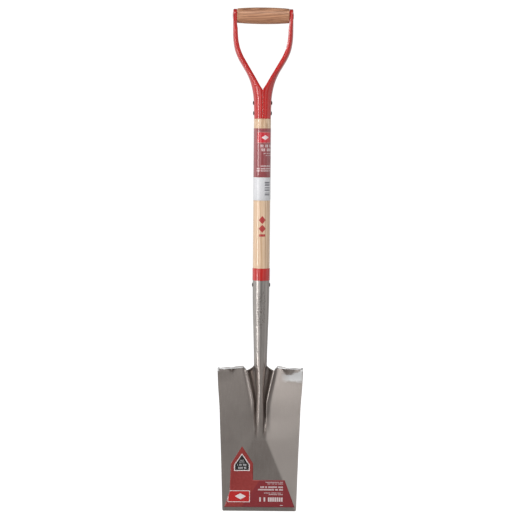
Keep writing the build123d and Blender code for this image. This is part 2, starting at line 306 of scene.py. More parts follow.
def painted_pressed_shading(f, base):
    """Painted light and shade on the pressed zones: painted shade on the fan, painted light on both wings
    (far more on the right), painted shade in the grooves and on the right rib's outer flank.
    """
    side = f.math("ABSOLUTE", f.x)
    rib = f.line(f.past(f.z, 232.0), 0.22, 13.2)
    fan = f.line(f.z, -0.41, 75.7)
    in_fan = f.both(f.ramp(f.minus(fan, side), -2.5, 2.5), f.ramp(f.z, 156.0, 150.0))
    # Painted shade: the fan between the creases is darkened.
    base = f.mix(f.both(in_fan, 0.15), base, srgb(0.50, 0.46, 0.44))
    # Painted light: both wings lightened, the right one far more and most towards the bottom.
    for direction, low_share, high_share in ((1.0, 0.8, 0.25), (-1.0, 0.3, 0.0)):
        wing = f.minus(f.both(f.x, direction), f.largest(fan, rib))
        painted_light = f.both(f.ramp(wing, -2.0, 4.0), f.ramp(f.z, 60.0, 290.0, low_share, high_share))
        base = f.mix(painted_light, base, srgb(0.80, 0.765, 0.74))
    # Painted shade in the grooves between the socket and the ribs, strongest low down.
    inner = f.line(f.z, 0.03, 1.6)
    outer = f.line(f.math("SIGN", f.x), 1.5, rib)
    groove_shade = f.both(f.ramp(f.minus(side, inner), -2.0, 1.5), f.ramp(f.minus(outer, side), -1.0, 2.0))
    groove_shade = f.both(groove_shade, f.band(f.z, 153.0, 170.0, 303.0, 318.0))
    base = f.mix(f.both(groove_shade, f.ramp(f.z, 190.0, 235.0, 0.6, 0.15)), base, srgb(0.38, 0.34, 0.32))
    # Painted shade on the right rib's outer flank.
    flank_shade = f.both(f.band(f.minus(f.x, rib), 0.5, 3.0, 3.5, 11.0), f.band(f.z, 165.0, 185.0, 300.0, 306.0))
    return f.mix(f.both(flank_shade, 0.6), base, srgb(0.34, 0.30, 0.29))


def stamp_lines(f):
    """Faint lines of a worn stamp on the socket's front, which can't be read."""
    worm = f.near(f.noise(0.24, 0.24, 0.12, 1.0), 0.5, 0.035)
    field = f.rectangle(f.around(16.5), f.z, 1.5, 430.0, 17.0, 78.0)
    return f.both(worm, f.both(field, f.math("LESS_THAN", f.y, 0.0)))


def painted_glints(f):
    """Painted highlights, whitish and less metallic: a painted reflection on the front below the right tread,
    and a painted highlight along the front edges of both treads.
    """
    # Painted reflection on the front face just below the right tread.
    height = f.math("ADD", f.z, f.both(f.noise(0.12, 0.12, 0.2), 10.0))
    upper = f.minus(height, f.both(f.past(f.x, 66.0), 0.5))
    reflection_area = f.both(f.ramp(height, 282.0, 288.0), f.ramp(upper, 301.0, 297.0))
    reflection_area = f.both(f.band(f.x, 42.0, 62.0, 86.0, 90.0), reflection_area)
    reflection_area = f.both(reflection_area, f.math("LESS_THAN", f.normal_y, -0.2))
    side = f.math("ABSOLUTE", f.x)
    # Painted highlight along the front edge of each tread.
    edge = f.line(f.past(side, TREAD_SHOULDER), 0.75, -TREAD_FRONT)
    edge = f.largest(edge, f.line(side, -0.29, -16.9))
    edge = f.largest(edge, f.line(side, -2.7, 74.6))
    lip_glint = f.both(f.ramp(f.minus(f.y, edge), 3.4, 2.4), f.ramp(f.z, 300.0, 302.0))
    lip_glint = f.both(lip_glint, f.ramp(side, 29.5, 31.5))
    return f.largest(f.both(reflection_area, 0.95), f.both(lip_glint, 0.9))


def steel_finish():
    """Grey stamped steel under thin clear lacquer, with soft clouds and fine specks, and with painted shade,
    painted light and painted highlights on the pressed zones and treads.
    """
    f = Finish("blade_steel")
    clouds = f.noise(0.02, 0.02, 0.014, 4.0, 0.6)
    specks = f.noise(0.4, 0.4, 0.4, 3.0, 0.7)
    rubbed = f.noise(0.5, 0.5, 0.05, 3.0, 0.6)
    shade = f.math("ADD", f.both(clouds, 0.6), f.both(rubbed, 0.4))
    base = f.mix(f.spread(shade), srgb(0.605, 0.567, 0.545), srgb(0.675, 0.640, 0.617))
    base = f.mix(f.ramp(specks, 0.56, 0.76, 0.0, 0.35), base, srgb(0.80, 0.78, 0.75))
    base = f.mix(f.ramp(f.z, 305.0, 345.0, 0.0, 0.7), base, srgb(0.62, 0.605, 0.59))
    # Painted shade and painted light on the pressed zones.
    base = painted_pressed_shading(f, base)
    base = f.mix(f.both(stamp_lines(f), 0.5), base, srgb(0.34, 0.31, 0.30))
    # Painted highlights and a painted reflection, whitish and less metallic.
    glint = painted_glints(f)
    base = f.mix(glint, base, srgb(0.90, 0.90, 0.90))
    f.bump(f.math("ADD", specks, f.both(rubbed, 0.5)), 0.05, 0.08)
    rough, metal = f.spread(clouds, 0.32, 0.38), f.ramp(glint, 0.0, 1.0, 0.9, 0.35)
    return f.set(Base_Color=base, Metallic=metal, Roughness=rough, Coat_Weight=0.12, Coat_Roughness=0.2)


def red_finish():
    """Glossy red powder coat with a faint orange peel."""
    f = Finish("red_powder_coat")
    peel = f.noise(0.55, 0.55, 0.55)
    clouds = f.noise(0.05, 0.05, 0.03)
    base = f.mix(f.spread(clouds), srgb(0.715, 0.085, 0.065), srgb(0.765, 0.11, 0.085))
    f.bump(peel, 0.03, 0.04)
    rough = f.ramp(peel, 0.2, 0.8, 0.30, 0.36)
    f.set(Base_Color=base, Roughness=rough, Specular_IOR_Level=0.3)
    return f.set(Coat_Weight=0.95, Coat_Roughness=0.11)


def dark_steel_finish():
    """Dull dark steel of the rivets."""
    f = Finish("rivet_steel")
    spots = f.noise(0.8, 0.8, 0.8, 3.0, 0.6)
    base = f.mix(f.ramp(spots, 0.35, 0.65), srgb(0.30, 0.28, 0.28), srgb(0.42, 0.40, 0.39))
    f.bump(spots, 0.08, 0.4)
    return f.set(Base_Color=base, Metallic=0.9, Roughness=f.spread(spots, 0.35, 0.5))


def growth_rings(f, across, depth, tilt, wobble, spacing):
    """Growth rings of a board: the distance from a far pith, bent by slow noise, cut into even rings."""
    away = f.math("SQRT", f.math("ADD", f.math("POWER", across, 2.0), f.math("POWER", depth, 2.0)))
    bent = f.math("ADD", f.math("ADD", away, tilt), wobble)
    return f.math("FRACT", f.math("DIVIDE", bent, spacing))


def ash_finish():
    """Pale straight-grained ash under clear lacquer, with a small red print on its front."""
    f = Finish("ash_wood")
    wobble = f.both(f.minus(f.noise(0.045, 0.045, 0.004), 0.5), 26.0)
    tilt = f.both(f.z, 0.012)
    ring = growth_rings(f, f.minus(f.x, 13.0), f.math("ADD", f.y, 44.0), tilt, wobble, 4.6)
    late = f.band(ring, 0.35, 0.85, 0.88, 0.97)
    pores = f.noise(2.2, 2.2, 0.05, 3.0, 0.65)
    fibres = f.noise(0.5, 0.5, 0.008, 3.0, 0.6)
    base = f.mix(f.spread(fibres), srgb(0.86, 0.73, 0.59), srgb(0.94, 0.82, 0.70))
    base = f.mix(f.both(late, 0.55), base, srgb(0.70, 0.52, 0.36))
    base = f.mix(f.ramp(pores, 0.56, 0.72, 0.0, 0.5), base, srgb(0.60, 0.43, 0.30))
    side = f.around(17.7)
    printed = f.rectangle(side, f.z, 1.5, 586.0, 13.0, 5.0)
    for height in (618.0, 600.0):
        printed = f.largest(printed, f.diamond(side, f.z, 1.5, height, 15.0, 17.0))
    worn = f.ramp(pores, 0.35, 0.5, 0.75, 1.0)
    base = f.mix(f.both(printed, worn), base, srgb(0.70, 0.09, 0.12))
    f.bump(f.minus(f.both(fibres, 0.3), pores), 0.12, 0.25)
    return f.set(Base_Color=base, Roughness=f.spread(pores, 0.36, 0.48), Coat_Weight=0.9, Coat_Roughness=0.09)


def oak_finish():
    """Brown oak of the grip, with long dark pores along X."""
    f = Finish("oak_wood")
    wobble = f.both(f.minus(f.noise(0.008, 0.05, 0.05, 1.0), 0.5), 9.0)
    tilt = f.both(f.x, -0.03)
    ring = growth_rings(f, f.minus(f.z, 1000.0), f.minus(f.y, 26.0), tilt, wobble, 3.7)
    late = f.band(ring, 0.45, 0.85, 0.90, 0.99)
    pores = f.noise(0.02, 0.9, 0.9, 3.0, 0.6)
    fibres = f.noise(0.008, 0.35, 0.35, 3.0, 0.6)
    base = f.mix(f.spread(fibres), srgb(0.725, 0.515, 0.385), srgb(0.825, 0.62, 0.48))
    base = f.mix(f.both(late, 0.65), base, srgb(0.50, 0.30, 0.19))
    base = f.mix(f.ramp(pores, 0.52, 0.68, 0.0, 0.6), base, srgb(0.44, 0.26, 0.17))
    f.bump(f.minus(f.both(fibres, 0.3), pores), 0.2, 0.35)
    return f.set(Base_Color=base, Roughness=f.spread(pores, 0.42, 0.55), Coat_Weight=0.15, Coat_Roughness=0.3)


def maroon_label_finish(top):
    """Maroon label, hung from its top edge: a plain red badge, and rows of short bars in place of text."""
    f = Finish("maroon_label")
    side = f.around(18.2)
    grain = f.noise(0.3, 0.3, 0.3)
    base = f.mix(f.spread(grain), srgb(0.565, 0.245, 0.26), srgb(0.615, 0.275, 0.29))
    badge = top - 19.0
    base = f.mix(f.rectangle(side, f.z, 5.0, badge, 34.0, 23.0), base, srgb(0.68, 0.58, 0.56))
    base = f.mix(f.rectangle(side, f.z, 5.0, badge, 32.4, 21.4), base, srgb(0.80, 0.12, 0.18))
    base = f.mix(f.diamond(side, f.z, 6.5, badge, 16.0, 10.0), base, srgb(0.95, 0.88, 0.88))
    rows = [
        (top - 36.5, -8.0, 23.0, 5.6, 3.4),
        (top - 44.5, -2.0, 23.0, 5.6, 3.4),
        (top - 52.0, 3.0, 23.0, 1.6, 1.5),
        (top - 56.0, 8.0, 23.0, 1.6, 1.5),
        (top - 78.0, -3.0, 22.0, 2.6, 2.0),
        (top - 83.5, -12.0, 23.0, 3.0, 2.2),
        (top - 88.0, -12.0, 22.0, 2.6, 2.0),
    ]
    for seed, row in enumerate(rows):
        base = f.mix(f.both(f.dashes(side, f.z, row, seed), 0.85), base, srgb(0.90, 0.82, 0.82))
    return f.set(Base_Color=base, Roughness=f.spread(grain, 0.28, 0.36), Coat_Weight=1.0, Coat_Roughness=0.12)


def white_label_finish(low, high):
    """White label with a block of plain bars, no numbers."""
    f = Finish("white_label")
    grain = f.noise(0.4, 0.4, 0.4)
    base = f.mix(f.spread(grain), srgb(0.83, 0.83, 0.84), srgb(0.88, 0.88, 0.89))
    cell = f.math("FLOOR", f.math("DIVIDE", f.z, 0.75))
    bars = f.math("GREATER_THAN", f.chance(cell), 0.5)
    block = f.rectangle(f.around(18.2), f.z, 12.5, (low + high) / 2, 13.0, (high - low) * 0.64)
    base = f.mix(f.both(f.both(block, bars), 0.8), base, srgb(0.32, 0.32, 0.36))
    return f.set(Base_Color=base, Roughness=f.spread(grain, 0.30, 0.4), Coat_Weight=0.3, Coat_Roughness=0.2)


def sticker_finish():
    """Red die-cut sticker: a dark panel, a plain gabled badge, a bright box and rows of short bars."""
    f = Finish("red_sticker")
    grain = f.noise(0.2, 0.2, 0.2)
    white = srgb(0.90, 0.86, 0.86)
    base = f.mix(f.spread(grain), srgb(0.56, 0.185, 0.17), srgb(0.60, 0.21, 0.20))
    panel = f.math("GREATER_THAN", f.minus(f.x, f.both(f.minus(f.z, 19.0), 0.69)), -31.4)
    base = f.mix(f.both(panel, 0.75), base, srgb(0.50, 0.13, 0.17))
    middle, eaves = -37.2, 99.2
    for floor, half, gable, tone in ((86.0, 16.6, 24.4, white), (87.8, 14.6, 21.4, srgb(0.13, 0.12, 0.12))):
        wall = f.rectangle(f.x, f.z, middle, (floor + eaves) / 2, 2 * half, eaves - floor)
        above = f.math("GREATER_THAN", f.z, eaves)
        roof = f.both(f.diamond(f.x, f.z, middle, eaves, 2 * half, 2 * gable), above)
        base = f.mix(f.largest(wall, roof), base, tone)
    bars = [(109.0, 4.0, 1.8), (105.0, 5.5, 1.8), (99.0, 9.5, 4.2), (92.5, 9.5, 4.2)]
    for seed, (level, half, thick) in enumerate(bars):
        row = (level, middle - half, middle + half, thick, 2.5)
        base = f.mix(f.both(f.dashes(f.x, f.z, row, seed + 3), 0.75), base, srgb(0.80, 0.79, 0.80))
    base = f.mix(f.rectangle(f.x, f.z, -43.5, 31.5, 47.0, 25.0), base, white)
    base = f.mix(f.rectangle(f.x, f.z, -43.5, 31.5, 44.4, 22.4), base, srgb(0.74, 0.12, 0.115))
    base = f.mix(f.diamond(f.x, f.z, -40.0, 31.5, 24.0, 13.0), base, white)
    rows = [
        (62.0, 13.0, 50.0, 1.5, 1.6),
        (58.5, 17.0, 50.0, 1.5, 1.6),
        (51.5, 2.0, 50.0, 3.2, 2.1),
        (46.0, -3.0, 50.0, 3.2, 2.1),
        (39.0, 10.0, 50.0, 1.5, 1.6),
        (35.5, 20.0, 50.0, 1.5, 1.6),
        (25.0, -5.0, 50.0, 9.0, 4.6),
        (12.5, 44.0, 50.0, 1.6, 1.6),
    ]
    for seed, row in enumerate(rows):
        base = f.mix(f.both(f.dashes(f.x, f.z, row, seed + 9), 0.8), base, white)
    return f.set(Base_Color=base, Roughness=f.spread(grain, 0.32, 0.42), Coat_Weight=0.3, Coat_Roughness=0.25)


# ---------------------------------------------------------------- blade

SHEET = 1.8
DISH = 19.0
DISH_CURVE = 0.2
# Height and half width of the blade.
SIDE_EDGE = [
    (0, 78.0), (45.6, 79.3), (110.6, 81.1), (175.3, 83.4),
    (226.4, 85.2), (269.2, 88.1), (307.2, 89.7),
]
# Height, ridge half width, ridge front, valley floor, crease half width, crease front.
STATIONS = [
    (0.0, 4.0, 0.0, 0.0, 75.7, 0.0),
    (41.2, 4.0, 0.0, 0.0, 58.9, 0.0),
    (87.5, 4.0, 0.0, 0.0, 39.7, 0.0),
    (128.5, 4.0, 0.0, 0.0, 22.6, 0.0),
    (154.1, 5.0, 0.0, 0.0, 12.5, 0.0),
    (160.5, 5.6, 0.4, 0.0, 12.2, 0.0),
    (166.4, 6.4, 2.2, -0.2, 12.0, 0.0),
    (177.6, 7.4, 4.7, -1.2, 12.6, 0.1),
    (195.0, 8.3, 7.2, -2.2, 13.4, 0.3),
    (213.3, 8.3, 8.8, -3.4, 13.4, 0.9),
    (235.7, 8.0, 10.4, -4.8, 14.8, 1.6),
    (258.1, 8.2, 11.7, -6.4, 18.9, 2.2),
    (281.4, 9.6, 12.7, -7.8, 24.0, 2.7),
    (303.7, 11.3, 13.3, -9.2, 29.0, 3.0),
]
# Points across from the middle to one edge: over the ridge, down the valley, along the wing.
RIDGE_STEPS, VALLEY_STEPS, WING_STEPS = 16, 14, 44
CREASE = RIDGE_STEPS + VALLEY_STEPS
SMOOTHING = 3
VALLEY_CURVE = 2.4
WING_SPREAD = 1.3
BEAD_HEIGHT, BEAD_WIDTH = 3.1, 3.7
BEAD_START, BEAD_REACH = 195, 45
CORNER_RADIUS = 3.0
CORNER_HEIGHTS = [0.05, 0.5, 1.2, 2.0, 3.0, 5.0, 8.0]
BODY_STEPS = 84

# The notch beside the socket, and the edge turned over into treads further out.
NOTCH_HEIGHT = 300.5
NOTCH_DEPTH, NOTCH_RISE = 0.6, 0.7
ROLL_REACH, ROLL_LEFT, ROLL_RIGHT = 26.0, 1.2, 3.0
ROLL_START, ROLL_SPREAD = 34, 30
TREAD_START, TREAD_INNER, TREAD_SHOULDER, TREAD_OUTER = 29.5, 38.0, 71.0, 90.0
TREAD_DEPTH = 23.0
TREAD_FRONT = 33.6
TREAD_TOP = 311.3
TREAD_CREST = 36.0
TREAD_SLOPE = tan(radians(3.4))
CLIMB_START, CLIMB_REACH = 28.5, 8.5
BEND_RADIUS = 3.4
BEND_STEPS, FLAT_STEPS = 7, 8
# Middle, half width and depth of the darts pressed into the bends.
GUSSETS = [(-60.0, 10.0, 13.0), (58.5, 17.0, 17.0)]

# Height and outer radius of the socket, and how far its sheet reaches round: ridge part, then valley part.
SOCKET_RADII = [
    (318.9, 14.2), (340.5, 14.3), (366, 15.0), (403, 16.1),
    (447.3, 17.2), (476.4, 17.5), (502.4, 17.6),
]
SOCKET_TOP = 502.4
RIDGE_TURN, VALLEY_TURN = 102.0, 74.0
CLOSING_PACE = 10.0
CLOSED_START, CLOSED_REACH = 336, 40
NECK_HEIGHT, NECK_STEPS, TUBE_STEPS = 26, 20, 34


def half_width(height):
    """Half the blade's width, with its rounded bottom corners."""
    width = between(SIDE_EDGE, height)[0]
    drop = max(CORNER_RADIUS - height, 0.0)
    return width - CORNER_RADIUS + sqrt(CORNER_RADIUS**2 - drop**2)


def midline(height):
    """The sheet's middle line at one height, as rows of (x, front) from left to right."""
    ridge, crest, floor, crease, crease_front = between(STATIONS, height)
    outer = half_width(height)
    crease = min(crease, outer - 2.0)
    points = []
    for step in range(RIDGE_STEPS):
        angle = pi / 2 * (1 - step / RIDGE_STEPS)
        points.append((ridge * cos(angle), floor + (crest - floor) * sin(angle)))
    for step in range(VALLEY_STEPS):
        share = step / VALLEY_STEPS
        front = floor + (crease_front - floor) * share**VALLEY_CURVE
        points.append((ridge + (crease - ridge) * share, front))
    rise = DISH * height / TREAD_TOP - crease_front
    for step in range(WING_STEPS + 1):
        share = (step / WING_STEPS) ** WING_SPREAD
        front = crease_front + rise * share * (1 - DISH_CURVE + DISH_CURVE * share)
        points.append((crease + (outer - crease) * share, front))
    right = np.array(points)
    line = np.vstack([(right * (-1, 1))[:0:-1], right])
    across = np.abs(line[:, 0])
    roll = [ROLL_RIGHT if x > 0 else ROLL_LEFT for x in line[:, 0]]
    roll = np.array([ease((x - ROLL_START) / ROLL_SPREAD) for x in across]) * roll
    near_top = max(height - (NOTCH_HEIGHT - ROLL_REACH), 0) / ROLL_REACH
    line[:, 1] += roll * near_top**2
    bead = BEAD_HEIGHT * ease((height - BEAD_START) / BEAD_REACH)
    line[:, 1] += bead * np.exp(-((across - crease) / BEAD_WIDTH) ** 2)
    for _ in range(SMOOTHING):
        line[1:-1] = (line[:-2] + 2 * line[1:-1] + line[2:]) / 4
    return line


def tread_depth(x):
    """How far the turned-over edge reaches forward at a distance from the middle."""
    inner = ease((x - TREAD_START) / (TREAD_INNER - TREAD_START))
    outer = min(max((TREAD_OUTER - x) / (TREAD_OUTER - TREAD_SHOULDER), 0.0), 1.0)
    return NOTCH_DEPTH + (TREAD_DEPTH - NOTCH_DEPTH) * min(inner, outer)


def tread_level(x):
    """The height of the tread's middle plane at a distance from the middle."""
    low = NOTCH_HEIGHT + NOTCH_RISE
    level = TREAD_TOP - SHEET / 2 - max(x - TREAD_CREST, 0.0) * TREAD_SLOPE
    return low + (level - low) * ease((x - CLIMB_START) / CLIMB_REACH)


def flange(x, front):
    """The sheet's path from the notch height, at one place across: up, round the bend and forward."""
    depth, level = min(tread_depth(x), TREAD_FRONT - front), tread_level(x)
    turn = pi / 2 * ease(depth / (2.5 * BEND_RADIUS))
    start = max(level - BEND_RADIUS * sin(turn), NOTCH_HEIGHT + 0.2)
    path = [(front, NOTCH_HEIGHT + (start - NOTCH_HEIGHT) * share) for share in (0.0, 0.5, 1.0)]
    for step in range(1, BEND_STEPS + 1):
        angle = turn * step / BEND_STEPS
        path.append((front + BEND_RADIUS * (1 - cos(angle)), start + BEND_RADIUS * sin(angle)))
    last_front, last_height = path[-1]
    run = max(depth - (last_front - front), 0.3)
    for step in range(1, FLAT_STEPS + 1):
        share = step / FLAT_STEPS
        path.append((last_front + run * share * sin(turn), last_height + run * share * cos(turn)))
    return path


def press_gusset(x, front, height, wing_front):
    """Moves a point near the bend onto the dart that stiffens it, and gives its (x, y, z)."""
    for centre, half, depth in GUSSETS:
        size = depth * max(0.0, 1 - abs(x - centre) / half)
        below = tread_level(abs(x)) - height
        ahead = front - wing_front
        shift = (size - below - ahead) / 2
        if size > 0 and shift > 0:
            return x, -(front + shift), height - shift
    return x, -front, height


def socket_row(line, height):
    """The sheet between the ribs, closing from the blade's top line into the round socket."""
    middle = len(line) // 2
    low = line[middle - CREASE: middle + CREASE + 1]
    closing = 1 - exp(-(height - NOTCH_HEIGHT) / CLOSING_PACE)
    closing = closing + (1 - closing) * ease((height - CLOSED_START) / CLOSED_REACH)
    radius = between(SOCKET_RADII, height)[0] - SHEET / 2
    row = []
    for index in range(-CREASE, CREASE + 1):
        over = max(abs(index) - RIDGE_STEPS, 0)
        ridge_share = min(abs(index), RIDGE_STEPS) / RIDGE_STEPS
        angle = radians(RIDGE_TURN * ridge_share + VALLEY_TURN * over / VALLEY_STEPS)
        side = 1 if index > 0 else -1
        tube = (side * radius * sin(angle), radius * cos(angle))
        x, front = low[index + CREASE] * (1 - closing) + np.array(tube) * closing
        row.append((x, -front, height))
    return row


def make_blade():
    """Blade, treads and socket as one pressed sheet."""
    heights = CORNER_HEIGHTS + [NOTCH_HEIGHT * step / BODY_STEPS for step in range(3, BODY_STEPS + 1)]
    body = [[press_gusset(x, front, height, front) for x, front in midline(height)] for height in heights]
    top = midline(NOTCH_HEIGHT)
    middle = len(top) // 2
    sheets = [body]
    for wing in (top[middle + CREASE:], top[middle - CREASE::-1]):
        treads = []
        for x, front in wing:
            treads.append([press_gusset(x, ahead, level, front) for ahead, level in flange(abs(x), front)])
        sheets.append(treads)
    neck_top = NOTCH_HEIGHT + NECK_HEIGHT
    climb = [NOTCH_HEIGHT + NECK_HEIGHT * step / NECK_STEPS for step in range(NECK_STEPS)]
    climb += [neck_top + (SOCKET_TOP - neck_top) * step / TUBE_STEPS for step in range(1, TUBE_STEPS + 1)]
    sheets.append([socket_row(top, height) for height in climb])
    points, faces = [], []
    for rows in sheets:
        faces += strip_faces(rows, len(points))
        points += [point for row in rows for point in row]
    blade = make_object("blade_sheet", points, faces)
    thicken(blade, SHEET, 0, even=False)
    round_edges(blade, 0.35, 2, 50)
    smooth_shade(blade, 50)
    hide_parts("blade")
    return blade


MARK_LIFT, MARK_SINK = 0.35, 0.04
MARK_THICKNESS, MARK_SLANT = 1.25, 0.25
MARK_SPACING = 5.2
MARK_RINGS, MARK_SIDES = 6, 20


def raised_mark(centre, angle, half):
    """One low bump on the socket: its top point, then rings out to its rim. Half is half its length."""
    radius = between(SOCKET_RADII, centre)[0]
    crown = radius + MARK_LIFT
    points = [(crown * sin(radians(angle)), -crown * cos(radians(angle)), centre)]
    for ring in range(1, MARK_RINGS + 1):
        out = ring / MARK_RINGS
        for step in range(MARK_SIDES):
            turn = 2 * pi * step / MARK_SIDES
            swing = radians(angle) + half * out * cos(turn) / radius
            level = centre + MARK_THICKNESS * out * sin(turn) + half * MARK_SLANT * out * cos(turn)
            reach = between(SOCKET_RADII, level)[0] + MARK_LIFT * sqrt(1 - out**4) - MARK_SINK
            points.append((reach * sin(swing), -reach * cos(swing), level))
    return points


def make_socket_marks():
    """Two columns of small raised bars on the socket's front, where makers put their stamp."""
    marks = [(463 - MARK_SPACING * step, -19.0, 3.2) for step in range(13)]
    marks += [(445 - MARK_SPACING * step, 13.0, 2.8) for step in range(9)]
    points, faces = [], []
    for mark in marks:
        start = len(points)
        points += raised_mark(*mark)
        first, last = start + 1, start + 1 + (MARK_RINGS - 1) * MARK_SIDES
        for step in range(MARK_SIDES):
            following = (step + 1) % MARK_SIDES
            faces.append((start, first + step, first + following))
            for ring in range(first, last, MARK_SIDES):
                outer = ring + MARK_SIDES
                faces.append((ring + step, outer + step, outer + following, ring + following))
        faces.append(tuple(last + step for step in reversed(range(MARK_SIDES))))
    bumps = make_object("socket_marks", points, faces)
    smooth_shade(bumps, 60)
    return bumps


# The sticker's outline: a tall part with a gable, and a low part that reaches to the right.
STICKER_KNEE = (-63.0, 40.0)
STICKER_LEFT_EAVES, STICKER_GABLE, STICKER_INNER = -60.5, -37.0, -13.5
STICKER_SHOULDER, STICKER_EAVES = 66.8, 102.0
STICKER_RIGHT_SHOULDER = 53.5
STICKER_LIFT = 0.22
TALL_COLUMNS, LOW_COLUMNS = 24, 34


def sticker_row(start, end, height, steps):
    """One level row of the sticker, just in front of the blade."""
    line = midline(height)
    spots = [start + (end - start) * step / steps for step in range(steps + 1)]
    fronts = np.interp(spots, line[:, 0], line[:, 1]) + SHEET / 2 + STICKER_LIFT
    return [(x, -front, height) for x, front in zip(spots, fronts)]


def tall_span(height, low, high):
    """Left and right edge of the sticker's tall part at one height."""
    if height > STICKER_EAVES:
        share = (height - STICKER_EAVES) / (high.z - STICKER_EAVES)
        left = STICKER_LEFT_EAVES + (STICKER_GABLE - STICKER_LEFT_EAVES) * share
        return left, STICKER_INNER + (STICKER_GABLE - STICKER_INNER) * share
    knee, knee_height = STICKER_KNEE
    if height > knee_height:
        share = (height - knee_height) / (STICKER_EAVES - knee_height)
        return knee + (STICKER_LEFT_EAVES - knee) * share, STICKER_INNER
    share = (height - low.z) / (knee_height - low.z)
    return low.x + (knee - low.x) * share, STICKER_INNER


def make_sticker():
    """The die-cut sticker, laid on the dished front of the blade."""
    low, high = node_box("blade_sticker")
    rise = STICKER_SHOULDER - low.z
    heights = sorted([low.z + rise * step / 24 for step in range(25)] + [STICKER_KNEE[1]])
    wall, roof = STICKER_EAVES - STICKER_SHOULDER, high.z - STICKER_EAVES
    tall = heights + [STICKER_SHOULDER + wall * step / 16 for step in range(1, 17)]
    tall += [STICKER_EAVES + roof * step / 14 for step in range(1, 14)] + [high.z - 0.05]
    first = [sticker_row(*tall_span(height, low, high), height, TALL_COLUMNS) for height in tall]
    second = []
    for height in heights:
        right = high.x + (STICKER_RIGHT_SHOULDER - high.x) * (height - low.z) / rise
        second.append(sticker_row(STICKER_INNER, right, height, LOW_COLUMNS))
    points = [point for row in first + second for point in row]
    faces = strip_faces(first) + strip_faces(second, len(first) * (TALL_COLUMNS + 1))
    sticker = make_object("printed_sticker", points, faces)
    thicken(sticker, 0.18, 0)
    smooth_shade(sticker, 40)
    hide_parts("blade_sticker")
    return sticker


# ---------------------------------------------------------------- yoke

WALL = 1.7
EDGE_CURL, CURL_FLAT = 0.14, 0.3
EDGE_STEPS, YOKE_STEPS = 3, 110
LEAST_FLAT, MOST_FLAT = 0.08, 0.9
LEAST_INNER = 0.02
YOKE_BOTTOM = 828.2
EAR_CENTRE = 1040.4
EAR_RADIUS = 13.6
EAR_CUP, EAR_TIP = 1.6, 1.6
# Height, outer face, inner edge, depth from front to back, flat share of the front flange.
YOKE_STATIONS = [
    (828.2, 17.60, 0.22, 35.1, 0.0),
    (849.1, 18.22, 0.22, 35.4, 0.0),
    (865.8, 18.72, 0.22, 35.7, 0.0),
    (873.9, 19.32, 0.10, 35.9, 0.02),
    (880.1, 20.17, 0.02, 35.9, 0.05),
    (888.0, 21.56, 0.10, 35.7, 0.10),
    (892.5, 22.66, 2.90, 35.4, 0.14),
    (898.7, 24.30, 6.80, 35.0, 0.20),
    (904.9, 26.36, 10.35, 34.5, 0.25),
    (911.1, 28.76, 13.90, 34.0, 0.30),
    (917.3, 31.66, 17.40, 33.4, 0.34),
    (923.5, 34.86, 21.20, 32.9, 0.38),
    (935.9, 42.26, 28.50, 31.6, 0.42),
    (948.2, 49.55, 35.80, 30.5, 0.45),
    (954.4, 52.65, 39.40, 29.9, 0.46),
    (960.6, 55.25, 42.40, 29.4, 0.46),
    (966.7, 57.54, 45.00, 29.0, 0.46),
    (972.9, 59.18, 47.30, 28.6, 0.46),
    (979.1, 60.42, 49.00, 28.3, 0.46),
    (991.4, 62.00, 51.30, 27.7, 0.46),
    (1003.8, 62.58, 52.40, 27.2, 0.47),
    (1015.0, 62.62, 52.95, 26.9, 0.48),
    (1023.8, 62.64, 54.22, 27.0, 0.60),
    (1030.6, 62.64, 54.27, 27.1, 0.72),
    (1040.4, 62.64, 54.27, 27.3, 0.76),
]


def yoke_row(outer, inner, depth, flat, height, side):
    """One D-shaped row of the half yoke's outside, from its front edge round to its back edge."""
    width, half = outer - inner, depth / 2
    curl = EDGE_CURL * half * ease(flat / CURL_FLAT)
    row = []
    for step in range(EDGE_STEPS):
        share = step / EDGE_STEPS
        row.append((inner + width * flat * share, -half + curl * (1 - share) ** 2))
    for angle in arc(0, 90, 16):
        row.append((inner + width * (flat + (1 - flat) * sin(angle)), -half * cos(angle)))
    row += [(x, -y) for x, y in reversed(row[:-1])]
    return [(side * x, y, height) for x, y in row]


def make_yoke_half(name, side):
    """One stamped half of the yoke: half a socket, a leg and a cupped ear."""
    rows = []
    for step in range(YOKE_STEPS + 1):
        height = YOKE_BOTTOM + (EAR_CENTRE - YOKE_BOTTOM) * step / YOKE_STEPS
        outer, inner, depth, flat = between(YOKE_STATIONS, height)
        flat = min(max(flat, LEAST_FLAT), MOST_FLAT)
        rows.append(yoke_row(outer, max(inner, LEAST_INNER), depth, flat, height, side))
    outer, inner, depth, flat = YOKE_STATIONS[-1][1:]
    for angle in arc(0, 90, 12)[1:]:
        rim = outer - EAR_CUP * (1 - cos(angle)) ** 2
        narrow = max(depth * cos(angle), EAR_TIP)
        rows.append(yoke_row(rim, inner, narrow, flat, EAR_CENTRE + EAR_RADIUS * sin(angle), side))
    points = [point for row in rows for point in row]
    half = make_object(name, points, strip_faces(rows))
    thicken(half, WALL, -1)
    round_edges(half, 0.3, 3, 50)
    smooth_shade(half, 50)
    return half


# ---------------------------------------------------------------- turned pieces

def dome(radius, seat, height, steps=10):
    """Profile of a domed rivet head, from its rim to its crown."""
    rim = [(radius * 0.97, seat), (radius, seat + height * 0.12)]
    return rim + [(radius * cos(a), seat + height * (0.2 + 0.8 * sin(a))) for a in arc(6, 90, steps)]


def make_pin(name, node, pin_radius, head_height):
    """A rivet or rod along X, with a formed head at each end."""
    low, high = node_box(node)
    centre = (low.z + high.z) / 2
    reach = high.x - head_height
    head_radius = (high.z - low.z) / 2
    right = [(pin_radius, reach - 0.1)] + dome(head_radius, reach, head_height)
    left = [(radius, -along) for radius, along in reversed(right)]
    pin = lathe(name, left + right, "X", centre, 48)
    smooth_shade(pin, 40)
    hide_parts(node)
    return pin


